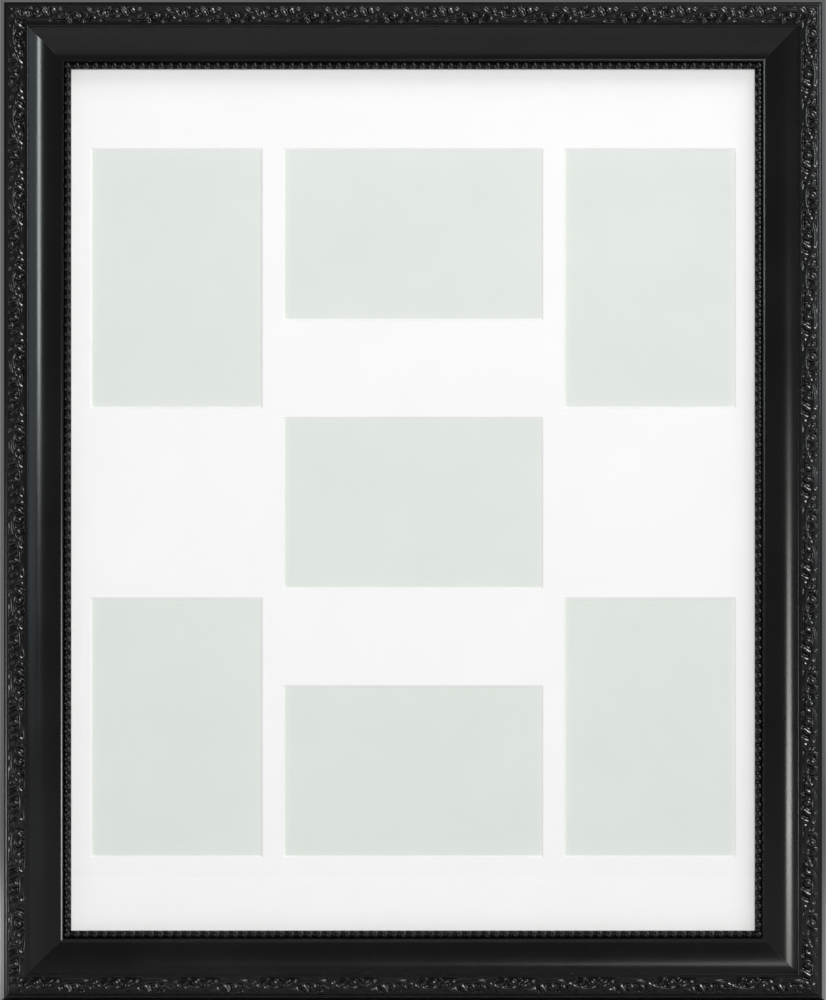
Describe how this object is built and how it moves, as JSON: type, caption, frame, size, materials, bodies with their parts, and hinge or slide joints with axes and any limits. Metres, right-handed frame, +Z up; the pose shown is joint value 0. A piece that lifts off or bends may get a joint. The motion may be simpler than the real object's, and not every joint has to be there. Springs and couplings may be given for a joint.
{
  "type": "collage photo frame",
  "caption": "Wall-hung collage photo frame with a black leaf-scroll and pearl-bead moulding, glazed white mount board with bevelled windows, and a back held by turn buttons.",
  "frame": {"origin": "the middle of the frame, on the plane of the rails' backs that lies against the wall", "axes": "+X to the right seen from the front, +Z up, and +Y from the front through the back towards the wall"},
  "size_m": [0.4746, 0.0273, 0.5766],
  "materials": {
    "black_lacquer": "gloss black lacquer over a wood moulding",
    "clear_glazing": "clear, polished",
    "white_mount_board": "matte white with a white core",
    "pale_insert_sheet": "matte pale grey-green",
    "brown_backing_board": "smooth brown hardboard",
    "zinc_plated_steel": "bright zinc plate"
  },
  "bodies": {
    "root": {"rail_top": "black_lacquer", "rail_bottom": "black_lacquer", "rail_left": "black_lacquer", "rail_right": "black_lacquer", "ornament_top": "black_lacquer", "ornament_bottom": "black_lacquer", "ornament_left": "black_lacquer", "ornament_right": "black_lacquer", "bead_strip_top": "black_lacquer", "bead_strip_bottom": "black_lacquer", "bead_strip_left": "black_lacquer", "bead_strip_right": "black_lacquer", "glazing": "clear_glazing", "mount_board": "white_mount_board", "insert_sheet": "pale_insert_sheet", "backing_board": "brown_backing_board", "corner_nails": "zinc_plated_steel", "turn_button_screws": "zinc_plated_steel", "hanger_strap_left": "zinc_plated_steel", "hanger_strap_right": "zinc_plated_steel", "hanger_screws": "zinc_plated_steel"},
    "turn_button_top_left": {"turn_button_top_left": "zinc_plated_steel"},
    "turn_button_top_right": {"turn_button_top_right": "zinc_plated_steel"},
    "turn_button_bottom_left": {"turn_button_bottom_left": "zinc_plated_steel"},
    "turn_button_bottom_right": {"turn_button_bottom_right": "zinc_plated_steel"},
    "turn_button_left_upper": {"turn_button_left_upper": "zinc_plated_steel"},
    "turn_button_left_lower": {"turn_button_left_lower": "zinc_plated_steel"},
    "turn_button_right_upper": {"turn_button_right_upper": "zinc_plated_steel"},
    "turn_button_right_lower": {"turn_button_right_lower": "zinc_plated_steel"},
    "d_ring_left": {"d_ring_left": "zinc_plated_steel"},
    "d_ring_right": {"d_ring_right": "zinc_plated_steel"}
  },
  "joints": [
    {"name": "turn_button_top_left_swivel", "type": "hinge", "parent": "root", "child": "turn_button_top_left", "pos_m": [-0.12, 0.0006, 0.264], "axis": [0, 1, 0], "continuous": true},
    {"name": "turn_button_top_right_swivel", "type": "hinge", "parent": "root", "child": "turn_button_top_right", "pos_m": [0.12, 0.0006, 0.264], "axis": [0, 1, 0], "continuous": true},
    {"name": "turn_button_bottom_left_swivel", "type": "hinge", "parent": "root", "child": "turn_button_bottom_left", "pos_m": [-0.12, 0.0006, -0.264], "axis": [0, 1, 0], "continuous": true},
    {"name": "turn_button_bottom_right_swivel", "type": "hinge", "parent": "root", "child": "turn_button_bottom_right", "pos_m": [0.12, 0.0006, -0.264], "axis": [0, 1, 0], "continuous": true},
    {"name": "turn_button_left_upper_swivel", "type": "hinge", "parent": "root", "child": "turn_button_left_upper", "pos_m": [-0.213, 0.0006, 0.15], "axis": [0, 1, 0], "continuous": true},
    {"name": "turn_button_left_lower_swivel", "type": "hinge", "parent": "root", "child": "turn_button_left_lower", "pos_m": [-0.213, 0.0006, -0.15], "axis": [0, 1, 0], "continuous": true},
    {"name": "turn_button_right_upper_swivel", "type": "hinge", "parent": "root", "child": "turn_button_right_upper", "pos_m": [0.213, 0.0006, 0.15], "axis": [0, 1, 0], "continuous": true},
    {"name": "turn_button_right_lower_swivel", "type": "hinge", "parent": "root", "child": "turn_button_right_lower", "pos_m": [0.213, 0.0006, -0.15], "axis": [0, 1, 0], "continuous": true},
    {"name": "d_ring_left_swing", "type": "hinge", "parent": "root", "child": "d_ring_left", "pos_m": [-0.2083, 0.0022, 0.096], "axis": [0, 0, 1], "range_deg": [0, 170]},
    {"name": "d_ring_right_swing", "type": "hinge", "parent": "root", "child": "d_ring_right", "pos_m": [0.2083, 0.0022, 0.096], "axis": [0, 0, -1], "range_deg": [0, 170]}
  ]
}
